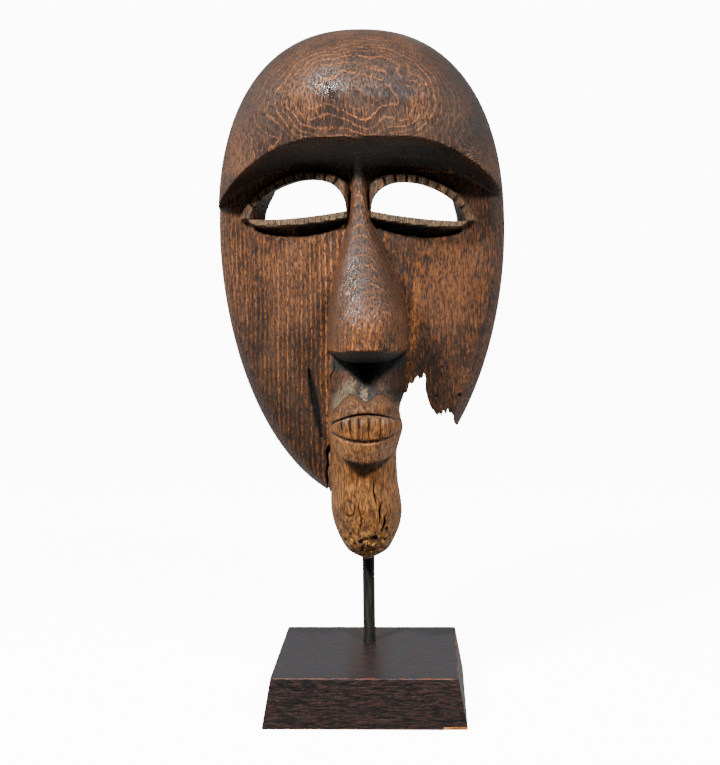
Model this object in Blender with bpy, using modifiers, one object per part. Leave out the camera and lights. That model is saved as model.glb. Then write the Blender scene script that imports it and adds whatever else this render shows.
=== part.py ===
"""A carved wooden face mask on a gallery stand.

The mask is one piece of wood: a thin oval shell, hollow behind, with a domed
forehead, notched eyelids round two pierced eyes, a wedge of a nose and a solid
muzzle and chin. Its lower right cheek has broken away. A steel rod stands in the
chin and in a dark wooden base, a low pyramid with its top cut off.

Frame: origin at the centre of the base's underside, +X to the viewer's right,
-Y to the viewer, +Z up. Sizes here are in millimetres, the meshes in metres.
"""

import bmesh
import bpy
import numpy as np
from mathutils import Matrix

MM = 0.001
CLEARANCE = 0.3            # between the rod and the bores it stands in

# Stand base
BASE_FOOT = 140.0          # side of the square underside
BASE_TOP = 128.0           # side of the square top
BASE_HEIGHT = 34.0
BASE_EDGE = 0.8            # worn edges

# Stand rod
ROD_DIAMETER = 9.0
ROD_Y = 26.0               # behind the middle of the base
ROD_IN_BASE = 22.0
ROD_IN_CHIN = 42.0

# Mask outline, an oval seen from the front
OVAL_X = -3.2              # middle of the oval, left of the rod
OVAL_Z = 335.0             # height where the face is widest
OVAL_HALF_WIDTH = 105.0
OVAL_UP = 145.0            # from there to the crown
OVAL_DOWN = 195.0          # and to the point the cheeks run down to
OVAL_POWER_UP = 2.33
OVAL_POWER_DOWN = 1.92
RIM_Y = 50.0               # plane of the back rim
RIM_LIFT = 9.0             # how far the rim comes forward at the foot of the cheeks
WALL = 9.0                 # thickness of the shell

# Forehead
DOME_DEPTH = 91.0          # from the rim plane to the front of the forehead
DOME_FRONT_Z = 418.0
MID_X = -2.0               # middle line of the eyes
BROW_Z = 398.7             # lower edge of the forehead
CREASE_Z = 380.0           # deepest line under the forehead

# Cheeks, a blunt ridge in plan
CHEEK_Y = -6.0
CHEEK_SLOPE = 0.55
CHEEK_BLUNT = 30.0
CHEEK_ROUND = 12.0         # radius where the front turns into the side

# Eyes: x of the arch's top, its height over the sill, the reach from there to the
# nose and to the temple, and the shorter reach to the temple at the back of the hole
EYES = {
    "left": dict(side=-1, apex=-41.0, tall=25.8, inner=30.3, outer=41.0, rear=22.5),
    "right": dict(side=1, apex=36.0, tall=24.3, inner=30.0, outer=37.0, rear=27.5),
}
LID_WIDTH = 7.0            # width of the raised lids
LID_RAISE = 8.0            # how far they stand out
SILL_DROP = 6.0            # height of the lower lids

# Nose
NOSE_TIP_Z = 255.5

# Muzzle and chin, one column that also carries the rod
CHIN_FOOT_Z = 103.5
CHIN_BACK_Y = 42.0
MUZZLE_TOP_Z = 256.0
MOUTH_X = 2.5
MUZZLE_SIDE_Y = 2.0        # where its sides are widest

# Broken edge of the right cheek, as (x, z) points from the mouth to the rim
BREAK_EDGE = [
    (16, 206), (21.4, 208.8), (23.3, 213), (26.1, 217.8), (30.5, 222.7), (31.8, 228),
    (34.5, 227.4), (37.4, 232.4), (38.8, 229.5), (42, 233.3), (43.5, 230.9), (43.1, 224.4),
    (43.8, 218), (45.2, 212.8), (47.5, 208), (50.6, 205), (54.1, 202.6), (55.5, 206.2),
    (57.2, 204.5), (58.8, 206.9), (60, 204.4), (61.6, 204.7), (63, 201.8), (63.4, 197),
]

# Rotten split between the left cheek and the chin
SPLIT_EDGE = [(-20, 186), (-25.5, 186.5), (-28.6, 180), (-27.6, 172), (-29, 164),
              (-28, 156), (-29.5, 146), (-20, 146)]
SPLIT_DEPTH = 7.0          # under the cheek, and deeper towards the foot


def ease(a, b, v):
    """0 below a, 1 above b and a smooth ramp between."""
    t = np.clip((v - a) / (b - a), 0.0, 1.0)
    return t * t * (3.0 - 2.0 * t)


def profile(v, *points):
    """Smooth curve through (v, value) points, listed by rising v."""
    at, value = np.array(points, float).T
    slope = np.gradient(value, at)
    i = np.clip(np.searchsorted(at, v) - 1, 0, len(at) - 2)
    step = at[i + 1] - at[i]
    t = np.clip((v - at[i]) / step, 0.0, 1.0)
    return ((2 * t**3 - 3 * t**2 + 1) * value[i] + (t**3 - 2 * t**2 + t) * step * slope[i]
            + (3 * t**2 - 2 * t**3) * value[i + 1] + (t**3 - t**2) * step * slope[i + 1])


def nearer(a, b, radius):
    """Whichever of two surfaces is further forward, with a fillet where they meet."""
    h = np.clip(0.5 + 0.5 * (b - a) / radius, 0.0, 1.0)
    return b * (1 - h) + a * h - radius * h * (1 - h)


def half_width(z, inset=0.0):
    """Half-width of the oval at height z, or of the hollow inside it."""
    up = (z > OVAL_Z)
    reach = np.where(up, OVAL_UP - inset, OVAL_DOWN - 3.5 * inset)
    power = np.where(up, OVAL_POWER_UP, OVAL_POWER_DOWN)
    t = np.clip(np.abs(z - OVAL_Z) / reach, 0.0, 1.0)
    return (OVAL_HALF_WIDTH - inset) * (1 - t**power) ** (1 / power)


def rim(z):
    return RIM_Y - RIM_LIFT * ease(300, 150, z)


def cheek(x):
    """Depth of the cheeks, which depends on x alone."""
    return CHEEK_Y + CHEEK_SLOPE * (np.hypot(x - MID_X, CHEEK_BLUNT) - CHEEK_BLUNT)


def rounded(depth, x, z, radius, inset=0.0):
    """Turns a depth back to the rim plane near the outline, in a quarter round."""
    slope = (half_width(z + 0.5, inset) - half_width(z - 0.5, inset))
    room = (half_width(z, inset) - np.abs(x - OVAL_X)) / np.hypot(1.0, slope)
    t = 1 - np.clip(room / radius, 0.0, 1.0)
    return depth + (rim(z) - depth) * (1 - np.sqrt(np.clip(1 - t * t, 0, 1)))


def forehead(x, z, inset=0.0):
    lift = np.clip((z - DOME_FRONT_Z) / (OVAL_Z + OVAL_UP - inset - DOME_FRONT_Z), 0, 1)
    s = np.clip(np.abs(x - OVAL_X) / np.maximum(half_width(z, inset), 0.01), 0, 1)
    bulge = np.sqrt(1 - lift**2.4) * np.sqrt(1 - s**2.2)
    return rim(z) - (DOME_DEPTH - inset) * bulge


def brow_line(x):
    return BROW_Z - 33.0 * (np.clip(np.abs(x - 1) - 25, 0, None) / 72) ** 2.1


def crease_line(x):
    return CREASE_Z - 0.006 * (np.abs(x - MID_X) - 38) ** 2


def sill_line(x):
    """Upper edge of the lower lids, which rises to the nose."""
    return 343.0 - 0.02 * x + 6.0 * (np.clip(75 - np.abs(x - MID_X), 0, None) / 65) ** 2


def eye_arch(eye, x, grow=0.0):
    """Height over the sill of an eye's arch, grown outward for its lid."""
    across = (x - eye["apex"]) * eye["side"]
    width = np.where(across > 0, eye["outer"], eye["inner"]) + grow
    u = np.clip(np.abs(across) / width, 0, 1)
    curve = np.where(across > 0, (1 - u**1.8) ** 0.6, (1 - u**2.3) ** 0.5)
    return (eye["tall"] + grow) * curve


def lids(x, z):
    """How far the raised lids stand out."""
    out = np.zeros_like(x)
    for eye in EYES.values():
        top = sill_line(x) + eye_arch(eye, x, LID_WIDTH)
        across = (x - eye["apex"]) * eye["side"]
        tip = np.clip(across / (eye["outer"] + 1), 0, 1)
        foot = sill_line(x) - SILL_DROP * np.sqrt(1 - tip**5)
        out = np.maximum(out, ease(-1.5, 1, across + eye["inner"])
                         * ease(-1, 0.8, z - foot) * ease(0, 2.2, top - z))
    return LID_RAISE * out


def nose(x, z):
    ridge = profile(z, (252, -57), (275, -55), (292, -48), (312, -37), (330, -27),
                    (345, -20), (372, -14), (384, -12))
    half = profile(z, (250, 29.2), (266, 29), (280, 28), (293, 25.5), (316, 18.4),
                   (334, 12.2), (346, 8.4), (363, 6.4), (384, 6))
    middle = profile(z, (250, 2.6), (280, 2.8), (316, 0.6), (334, -0.9), (363, -2), (384, -2))
    q = np.clip(np.abs(x - middle) / half, 0, 1)
    foot = 6.0
    depth = foot + (ridge - foot) * (1 - q**3.4) ** 0.75
    # the tip is cut off flat, sloping down and back to the lip in the middle
    below = np.clip(NOSE_TIP_Z - 2.5 * q * q - z, 0, None)
    cut = below * (1.8 + 3 * q * q) + 6 * np.clip(below - 8.5 * (1 - q**3), 0, None)
    return np.where(q < 1, depth + cut, 60.0)


def shell_front(x, z):
    """Front surface of the oval: forehead, brow, cheeks, lids and nose."""
    v = np.clip((brow_line(x) - z) / (brow_line(x) - crease_line(x)), 0, 1)
    w = 1.12 * v * v / (v + 0.12)
    under = 1 - (1 - np.clip(w, 0, 1)) ** 1.6
    lower = cheek(x) - lids(x, z)
    lower = rounded(nearer(lower, nose(x, z), 3.0), x, z, CHEEK_ROUND)
    return forehead(x, z) * (1 - under) + lower * under


def shell_back(x, z):
    """Inner surface of the hollow, smoother than the front."""
    lower = rounded(cheek(x) + WALL, x, z, 16.0, WALL)
    under = ease(414, 380, z)
    return forehead(x, z, WALL) * (1 - under) + lower * under


def muzzle(x, z):
    """Front of the muzzle and chin, with a barrel of a mouth and a row of teeth."""
    front = profile(z, (103, -6), (107, -15), (114, -22), (126, -27), (142, -30),
                    (160, -29), (174, -30), (186, -34), (200, -37), (214, -35),
                    (222, -32), (230, -26), (238, -22), (250, -18), (258, -17))
    q = np.clip(np.abs(x - column_middle(z)) / column_half(z), 0, 1)
    ridged = ease(214, 224, z)
    across = (1 - ridged) * (1 - q**2.5) ** 0.55 + ridged * (1 - q**1.8) ** 0.85
    depth = MUZZLE_SIDE_Y + (front - MUZZLE_SIDE_Y) * across
    u = np.abs(x - MOUTH_X) / 26
    dip = np.exp(-(((x - MOUTH_X) / 4.5) ** 2))
    lip_top = 223.3 - 5 * dip - 29 * np.clip(u - 0.42, 0, None) ** 1.2
    lip_foot = 176 + 8 * u**2 + 4 * u**6
    barrel = ease(0, 2.5, lip_top - z) * ease(0, 4, z - lip_foot)
    teeth = ease(0, 1.2, 211.3 - 9 * u**2 - z) * ease(0, 1.2, z - 192.2 - 6 * u**2)
    return depth - 9.0 * barrel + 1.5 * teeth * (1 - q**6)


def column_half(z):
    return profile(z, (103, 3), (105, 6.5), (108.5, 13.2), (114, 17.6), (120, 20.6),
                   (126, 23), (138, 25.2), (150, 24.6), (159, 23.6), (170, 23.2), (179, 23.4),
                   (187, 24.8), (193, 26), (199, 26.6), (206, 25.8), (212, 25.4), (217, 26.4),
                   (222, 27.6), (240, 28.3), (258, 28.8))


def column_middle(z):
    return profile(z, (103, 0.8), (138, 0.3), (150, -0.5), (165, -0.9), (187, -0.7), (199, 0.2),
                   (206, -0.4), (212, -0.5), (217, 0.3), (222, 0.9), (240, 1.5), (258, MOUTH_X))


def column_back(z):
    """The chin is solid to its back; above it the block ends inside the hollow."""
    return profile(z, (103, 37), (112, CHIN_BACK_Y), (148, CHIN_BACK_Y), (166, 36),
                   (182, 20), (196, 9), (210, 4.5), (225, 3.6), (258, 3.5))


def remove_everything():
    for ob in list(bpy.data.objects):
        bpy.data.objects.remove(ob, do_unlink=True)


def new_object(name, bm, collection):
    mesh = bpy.data.meshes.new(name)
    bmesh.ops.recalc_face_normals(bm, faces=bm.faces)
    bm.to_mesh(mesh)
    bm.free()
    ob = bpy.data.objects.new(name, mesh)
    collection.objects.link(ob)
    return ob


def loft(name, rings, collection):
    """Closed solid through rings of equal point count, given in millimetres."""
    bm = bmesh.new()
    rows = [[bm.verts.new(p) for p in ring] for ring in np.asarray(rings) * MM]
    for low, high in zip(rows, rows[1:]):
        for i in range(len(low)):
            j = (i + 1) % len(low)
            bm.faces.new((low[i], low[j], high[j], high[i]))
    bm.faces.new(rows[0])
    bm.faces.new(rows[-1])
    return new_object(name, bm, collection)


def spread(count, ends=0.45):
    """Numbers from -1 to 1, closer together at both ends."""
    t = np.linspace(-1, 1, count)
    return (1 - ends) * t + ends * np.sin(t * np.pi / 2)


def shell(name, front, inset, rows, columns, back, collection):
    """Solid between a front surface over the oval and a flat back."""
    rings = []
    for t in spread(rows, 0.75) * (1 - 0.0008):
        reach = OVAL_UP - inset if t > 0 else OVAL_DOWN - 3.5 * inset
        z = OVAL_Z + reach * t
        x = OVAL_X + half_width(z, inset) * spread(columns)
        y = front(x, np.full_like(x, z))
        y[[0, -1]] = back if back else rim(z)
        rings.append(np.column_stack((x, y, np.full_like(x, z))))
    return loft(name, rings, collection)


def column(name, rows, points, collection):
    """Muzzle and chin: a D-shaped section at each height."""
    rings = []
    for z in np.linspace(CHIN_FOOT_Z, MUZZLE_TOP_Z, rows):
        half, mid = column_half(z), column_middle(z)
        turn = np.linspace(0, np.pi, points)
        x = mid + half * np.cos(turn)
        y = np.minimum(muzzle(x, np.full_like(x, z)), MUZZLE_SIDE_Y)
        turn = np.linspace(np.pi, 2 * np.pi, points // 2)[1:-1]
        side = np.sign(np.cos(turn)) * np.abs(np.cos(turn)) ** 0.6
        xb = mid + half * 0.97 * side
        yb = MUZZLE_SIDE_Y + (column_back(z) - MUZZLE_SIDE_Y) * np.abs(np.sin(turn)) ** 0.5
        x, y = np.append(x, xb), np.append(y, yb)
        rings.append(np.column_stack((x, y, np.full_like(x, z))))
    return loft(name, rings, collection)


def eye_cutter(name, eye, collection):
    """Plug with straight sides in front, its temple end slanting in to the back."""
    t = np.linspace(-1, 1, 33)
    over = np.abs(t) ** 0.8 * np.where(t < 0, -eye["inner"], eye["outer"])
    under = np.linspace(eye["rear"], -eye["inner"], 12)[1:-1]
    across = np.append(over, under)
    x = eye["apex"] + across * eye["side"]
    x_rear = eye["apex"] + np.minimum(across, eye["rear"]) * eye["side"]
    z = sill_line(x)
    z[:33] += eye_arch(eye, x[:33])
    z_rear = np.maximum(z, sill_line(x_rear))
    rings = [np.column_stack((px, cheek(x) + y, pz)) for px, y, pz in
             ((x, -30, z), (x, -6, z), (x_rear, WALL + 2, z_rear), (x_rear, 40, z_rear))]
    return loft(name, rings, collection)


def prism(name, outline, front, back, collection):
    """Cut through an outline of (x, z) points, from one depth to another."""
    rings = [[(x, depth(z), z) for x, z in outline] for depth in (front, back)]
    return loft(name, rings, collection)


def drill(name, x, y, low, high, diameter, collection):
    bm = bmesh.new()
    bmesh.ops.create_cone(bm, cap_ends=True, segments=48, radius1=diameter / 2 * MM,
                          radius2=diameter / 2 * MM, depth=(high - low) * MM,
                          matrix=Matrix.Translation((x * MM, y * MM, (low + high) / 2 * MM)))
    return new_object(name, bm, collection)


def boolean(ob, other, operation, solver="EXACT"):
    mod = ob.modifiers.new(operation.lower() + "_" + other.name, "BOOLEAN")
    mod.operation = operation
    mod.solver = solver
    mod.object = other
    other.hide_render = True
    other.display_type = "WIRE"


def material(name, colour, roughness, metallic=0.0):
    mat = bpy.data.materials.new(name)
    mat.use_nodes = True
    shader = mat.node_tree.nodes["Principled BSDF"]
    shader.inputs["Base Color"].default_value = (*colour, 1.0)
    shader.inputs["Roughness"].default_value = roughness
    shader.inputs["Metallic"].default_value = metallic
    return mat


remove_everything()
parts = bpy.data.collections.new("african_mask")
cutters = bpy.data.collections.new("cutters")
bpy.context.scene.collection.children.link(parts)
bpy.context.scene.collection.children.link(cutters)

# Mask: shell, hollow, eyes, broken cheek, then the muzzle and chin and their bore
mask = shell("mask", shell_front, 0.0, 320, 201, None, parts)
hollow = shell("hollow", shell_back, WALL, 60, 41, RIM_Y + 12, cutters)
boolean(mask, hollow, "DIFFERENCE")
for side, eye in EYES.items():
    boolean(mask, eye_cutter("eye_" + side, eye, cutters), "DIFFERENCE")
missing = prism("missing_cheek", [*BREAK_EDGE, (75, 178), (40, 130), (16, 130)],
                lambda z: -40, lambda z: RIM_Y + 15, cutters)
boolean(mask, missing, "DIFFERENCE")
split = prism("rotten_split", SPLIT_EDGE, lambda z: -30,
              lambda z: SPLIT_DEPTH + 0.9 * (186 - z), cutters)
boolean(mask, split, "DIFFERENCE")
chin = column("chin_block", 90, 41, cutters)
boolean(mask, chin, "UNION", "MANIFOLD")
ROD_TOP_Z = CHIN_FOOT_Z + ROD_IN_CHIN
chin_bore = drill("chin_bore", 0, ROD_Y, CHIN_FOOT_Z - 20, ROD_TOP_Z + CLEARANCE,
                  ROD_DIAMETER + 2 * CLEARANCE, cutters)
boolean(mask, chin_bore, "DIFFERENCE")
light = mask.modifiers.new("lighten", "DECIMATE")
light.ratio = 0.06
mask.data.materials.append(material("carved_wood", (0.13, 0.065, 0.032), 0.5))

# Rod, standing in blind bores of the base and the chin
rod_foot = BASE_HEIGHT - ROD_IN_BASE
bm = bmesh.new()
bmesh.ops.create_cone(bm, cap_ends=True, segments=48, radius1=ROD_DIAMETER / 2 * MM,
                      radius2=ROD_DIAMETER / 2 * MM, depth=(ROD_TOP_Z - rod_foot) * MM)
rod = new_object("stand_rod", bm, parts)
rod.location = (0, ROD_Y * MM, (ROD_TOP_Z + rod_foot) / 2 * MM)
rod.data.shade_smooth()
rod.data.set_sharp_from_angle(angle=0.6)
rod.data.materials.append(material("blackened_steel", (0.02, 0.02, 0.018), 0.4, 1.0))

# Base, a square pyramid with its top cut off
bm = bmesh.new()
bmesh.ops.create_cone(bm, cap_ends=True, segments=4, radius1=BASE_FOOT * MM / 2**0.5,
                      radius2=BASE_TOP * MM / 2**0.5, depth=BASE_HEIGHT * MM,
                      matrix=Matrix.Rotation(np.pi / 4, 4, "Z"))
bmesh.ops.translate(bm, vec=(0, 0, BASE_HEIGHT / 2 * MM), verts=bm.verts)
base = new_object("stand_base", bm, parts)
worn = base.modifiers.new("worn_edges", "BEVEL")
worn.width = BASE_EDGE * MM
worn.segments = 2
rod_bore = drill("rod_bore", 0, ROD_Y, rod_foot - CLEARANCE, BASE_HEIGHT + 10,
                 ROD_DIAMETER + 2 * CLEARANCE, cutters)
boolean(base, rod_bore, "DIFFERENCE")
base.data.materials.append(material("stained_wood", (0.02, 0.012, 0.01), 0.35))
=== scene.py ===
"""Looks of a carved wooden face mask on its gallery stand.

Lengths are written in millimetres and turned to metres where a mesh is made. +X is to
the viewer's right, -Y towards the viewer, +Z up, from the middle of the base's underside.
"""

import math

import bmesh
import bpy
import numpy as np
from mathutils import Matrix, Vector, noise


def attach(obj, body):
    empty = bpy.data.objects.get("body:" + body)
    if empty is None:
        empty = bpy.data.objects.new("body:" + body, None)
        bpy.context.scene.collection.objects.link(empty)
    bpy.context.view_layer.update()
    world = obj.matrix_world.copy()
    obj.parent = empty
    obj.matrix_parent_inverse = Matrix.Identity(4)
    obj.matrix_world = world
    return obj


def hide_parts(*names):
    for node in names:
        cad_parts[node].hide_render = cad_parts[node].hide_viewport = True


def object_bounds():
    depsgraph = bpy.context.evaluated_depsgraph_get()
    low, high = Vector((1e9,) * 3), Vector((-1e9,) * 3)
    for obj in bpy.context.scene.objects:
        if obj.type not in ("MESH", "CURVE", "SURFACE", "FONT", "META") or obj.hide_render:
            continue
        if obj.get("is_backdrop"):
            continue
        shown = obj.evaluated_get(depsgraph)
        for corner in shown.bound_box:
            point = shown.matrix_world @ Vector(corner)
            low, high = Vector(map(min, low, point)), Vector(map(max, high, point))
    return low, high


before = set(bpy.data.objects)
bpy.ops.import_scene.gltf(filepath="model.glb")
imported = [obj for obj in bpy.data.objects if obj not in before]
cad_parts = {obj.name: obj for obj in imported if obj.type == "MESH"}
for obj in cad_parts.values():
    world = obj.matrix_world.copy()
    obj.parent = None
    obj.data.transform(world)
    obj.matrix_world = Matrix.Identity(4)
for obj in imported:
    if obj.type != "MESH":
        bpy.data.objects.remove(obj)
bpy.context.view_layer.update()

MM = 0.001


# Mask
# One block of a coarse-ringed hardwood, carved with adze and knife into a thin oval
# shell with a domed forehead, notched lids, a wedge nose, a barrel mouth and a long
# chin, then darkened, handled and worn until the growth rings show through.

OVAL_X, OVAL_Z = -3.2, 335.0
OVAL_HALF_WIDTH, OVAL_UP, OVAL_DOWN = 105.0, 145.0, 195.0
OVAL_POWER_UP, OVAL_POWER_DOWN = 2.33, 1.92
RIM_Y, RIM_LIFT, WALL = 50.0, 9.0, 9.0
DOME_DEPTH, DOME_FRONT_Z = 91.0, 418.0
MID_X, BROW_Z, CREASE_Z = -2.0, 398.7, 380.0
CHEEK_Y, CHEEK_SLOPE, CHEEK_BLUNT, CHEEK_ROUND = -6.0, 0.55, 30.0, 12.0
EYES = {
    "left": dict(side=-1, apex=-41.0, tall=25.8, inner=30.3, outer=41.0, rear=22.5),
    "right": dict(side=1, apex=36.0, tall=24.3, inner=30.0, outer=37.0, rear=27.5),
}
LID_WIDTH, LID_RAISE, SILL_DROP = 7.0, 8.0, 6.0
NOSE_TIP_Z = 255.5


def ease(a, b, v):
    """0 below a, 1 above b and a smooth ramp between."""
    t = np.clip((v - a) / (b - a), 0.0, 1.0)
    return t * t * (3.0 - 2.0 * t)


def bell(v, width):
    """1 where v is 0, falling smoothly to nothing within about two widths."""
    return np.exp(-(v / width) ** 2)


def profile(v, *points):
    """Smooth curve through (v, value) points, listed by rising v."""
    at, value = np.array(points, float).T
    slope = np.gradient(value, at)
    i = np.clip(np.searchsorted(at, v) - 1, 0, len(at) - 2)
    step = at[i + 1] - at[i]
    t = np.clip((v - at[i]) / step, 0.0, 1.0)
    return ((2 * t**3 - 3 * t**2 + 1) * value[i] + (t**3 - 2 * t**2 + t) * step * slope[i]
            + (3 * t**2 - 2 * t**3) * value[i + 1] + (t**3 - t**2) * step * slope[i + 1])


def nearer(a, b, radius):
    """Whichever of two surfaces is further forward, with a fillet where they meet."""
    h = np.clip(0.5 + 0.5 * (b - a) / radius, 0.0, 1.0)
    return b * (1 - h) + a * h - radius * h * (1 - h)


def half_width(z, inset=0.0):
    """Half-width of the oval at height z, or of the hollow inside it."""
    up = z > OVAL_Z
    reach = np.where(up, OVAL_UP - inset, OVAL_DOWN - 3.5 * inset)
    power = np.where(up, OVAL_POWER_UP, OVAL_POWER_DOWN)
    t = np.clip(np.abs(z - OVAL_Z) / reach, 0.0, 1.0)
    return (OVAL_HALF_WIDTH - inset) * (1 - t**power) ** (1 / power)


def rim(z):
    return RIM_Y - RIM_LIFT * ease(300, 150, z)


def cheek(x):
    return CHEEK_Y + CHEEK_SLOPE * (np.hypot(x - MID_X, CHEEK_BLUNT) - CHEEK_BLUNT)


def rounded(depth, x, z, radius, inset=0.0):
    """Turns a depth back to the rim plane near the outline, in a quarter round."""
    slope = half_width(z + 0.5, inset) - half_width(z - 0.5, inset)
    room = (half_width(z, inset) - np.abs(x - OVAL_X)) / np.hypot(1.0, slope)
    t = 1 - np.clip(room / radius, 0.0, 1.0)
    return depth + (rim(z) - depth) * (1 - np.sqrt(np.clip(1 - t * t, 0, 1)))


def forehead(x, z, inset=0.0):
    lift = np.clip((z - DOME_FRONT_Z) / (OVAL_Z + OVAL_UP - inset - DOME_FRONT_Z), 0, 1)
    s = np.clip(np.abs(x - OVAL_X) / np.maximum(half_width(z, inset), 0.01), 0, 1)
    bulge = np.sqrt(1 - lift**2.4) * np.sqrt(1 - s**2.2)
    return rim(z) - (DOME_DEPTH - inset) * bulge


def brow_line(x):
    return BROW_Z - 33.0 * (np.clip(np.abs(x - 1) - 25, 0, None) / 72) ** 2.1


def crease_line(x):
    return CREASE_Z - 0.006 * (np.abs(x - MID_X) - 38) ** 2


def sill_line(x):
    """Upper edge of the lower lids, which rises to the nose."""
    return 343.0 - 0.02 * x + 6.0 * (np.clip(75 - np.abs(x - MID_X), 0, None) / 65) ** 2


def eye_arch(eye, x, grow=0.0):
    """Height over the sill of an eye's arch, grown outward for its lid."""
    across = (x - eye["apex"]) * eye["side"]
    width = np.where(across > 0, eye["outer"], eye["inner"]) + grow
    u = np.clip(np.abs(across) / width, 0, 1)
    curve = np.where(across > 0, (1 - u**1.8) ** 0.6, (1 - u**2.3) ** 0.5)
    return (eye["tall"] + grow) * curve


def lids(x, z):
    """How far the raised lids stand out."""
    out = np.zeros_like(x)
    for eye in EYES.values():
        top = sill_line(x) + eye_arch(eye, x, LID_WIDTH)
        across = (x - eye["apex"]) * eye["side"]
        tip = np.clip(across / (eye["outer"] + 1), 0, 1)
        foot = sill_line(x) - SILL_DROP * np.sqrt(1 - tip**5)
        out = np.maximum(out, ease(-1.5, 1, across + eye["inner"])
                         * ease(-1, 0.8, z - foot) * ease(0, 2.2, top - z))
    return LID_RAISE * out


def under_lid(x, z):
    """Share of the dark crescent cut back under each lower lid."""
    out = np.zeros_like(x)
    for eye in EYES.values():
        across = (x - eye["apex"]) * eye["side"]
        span = np.where(across > 0, across / (eye["outer"] - 3), across / (eye["inner"] + 2))
        tall = 7.0 * np.clip(1 - np.abs(span) ** 2.2, 0, None)
        foot = sill_line(x) - SILL_DROP
        out = np.maximum(out, ease(-1.5, 0.5, z - foot + tall) * ease(1.5, -0.5, z - foot)
                         * (tall > 0.2))
    return out


def nose(x, z):
    ridge = profile(z, (252, -57), (275, -55), (292, -48), (312, -37), (330, -27),
                    (345, -20), (372, -14), (384, -12))
    half = profile(z, (250, 29.2), (266, 29), (280, 28), (293, 25.5), (316, 18.4),
                   (334, 12.2), (346, 8.4), (363, 6.4), (384, 6))
    middle = profile(z, (250, 2.6), (280, 2.8), (316, 0.6), (334, -0.9), (363, -2), (384, -2))
    q = np.clip(np.abs(x - middle) / half, 0, 1)
    foot = 6.0
    depth = foot + (ridge - foot) * (1 - q**3.4) ** 0.75
    below = np.clip(NOSE_TIP_Z - 2.5 * q * q - z, 0, None)
    cut = below * (1.8 + 3 * q * q) + 6 * np.clip(below - 8.5 * (1 - q**3), 0, None)
    return np.where(q < 1, depth + cut, 60.0)


def from_line(x, z, x0, z0, x1, z1):
    """Distance from the line between two points, and the share of the way along it."""
    dx, dz = x1 - x0, z1 - z0
    t = np.clip(((x - x0) * dx + (z - z0) * dz) / (dx * dx + dz * dz), 0, 1)
    return np.hypot(x - x0 - t * dx, z - z0 - t * dz), t


def cheek_gouge(x, z):
    """Share of the groove down the left cheek beside the mouth, which is cut in and darkened with
    painted shade.
    """
    away, t = from_line(x, z, -39.5, 237, -31, 190)
    return ease(2.6, 0.6, away / (0.35 + 1.1 * np.sin(np.pi * np.clip(t, 0.04, 0.97))))


def unevenness(x, y, z, size, stretch=1.0):
    """Even noise from -1 to 1 over a surface, drawn out along the grain by stretch."""
    points = np.column_stack((x / size, y / size, z / (size * stretch)))
    return np.array([noise.noise(p) for p in map(Vector, points)])


def shell_front(x, z):
    """Front of the oval with its hand-carved unevenness."""
    v = np.clip((brow_line(x) - z) / (brow_line(x) - crease_line(x)), 0, 1)
    w = 1.12 * v * v / (v + 0.12)
    under = 1 - (1 - np.clip(w, 0, 1)) ** 1.6
    lower = cheek(x) - lids(x, z) + 4.5 * under_lid(x, z)
    lower = nearer(lower, nose(x, z), 3.0) + 3.0 * cheek_gouge(x, z)
    lower = rounded(lower, x, z, CHEEK_ROUND)
    depth = forehead(x, z) * (1 - under) + lower * under
    carved = 0.7 * unevenness(x, depth, z, 23, 1.6) + 0.25 * unevenness(x, depth, z, 6, 3)
    room = np.clip((half_width(z) - np.abs(x - OVAL_X)) / 6, 0, 1)
    return depth + carved * room


def shell_back(x, z):
    """Inner surface of the hollow."""
    lower = rounded(cheek(x) + WALL, x, z, 16.0, WALL)
    under = ease(414, 380, z)
    return forehead(x, z, WALL) * (1 - under) + lower * under


def placed(name, data):
    """A new object in the scene that holds the given data."""
    ob = bpy.data.objects.new(name, data)
    bpy.context.scene.collection.objects.link(ob)
    return ob


def solid_of(name, bm):
    """A new object made of a finished bmesh, which is then set free."""
    mesh = bpy.data.meshes.new(name)
    bm.to_mesh(mesh)
    bm.free()
    return placed(name, mesh)


def loft(name, rings):
    """Closed solid through rings of equal point count, given in millimetres."""
    bm = bmesh.new()
    rows = [[bm.verts.new(p) for p in ring] for ring in np.asarray(rings) * MM]
    for low, high in zip(rows, rows[1:]):
        for i in range(len(low)):
            j = (i + 1) % len(low)
            bm.faces.new((low[i], low[j], high[j], high[i]))
    bm.faces.new(rows[0])
    bm.faces.new(rows[-1])
    bmesh.ops.recalc_face_normals(bm, faces=bm.faces)
    return solid_of(name, bm)


def spread(count, ends=0.45):
    """Numbers from -1 to 1, closer together at both ends."""
    t = np.linspace(-1, 1, count)
    return (1 - ends) * t + ends * np.sin(t * np.pi / 2)


def shell(name, front, inset, rows, columns, back):
    """Solid between a front surface over the oval and a plain back."""
    rings = []
    for t in spread(rows, 0.75) * (1 - 0.0008):
        reach = OVAL_UP - inset if t > 0 else OVAL_DOWN - 3.5 * inset
        z = OVAL_Z + reach * t
        x = OVAL_X + half_width(z, inset) * spread(columns)
        y = front(x, np.full_like(x, z))
        y[[0, -1]] = back if back else rim(z)
        rings.append(np.column_stack((x, y, np.full_like(x, z))))
    return loft(name, rings)


mask_blank = shell("mask_blank", shell_front, 0.0, 326, 220, None)
hollow = shell("hollow", shell_back, WALL, 100, 70, RIM_Y + 12)

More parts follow.
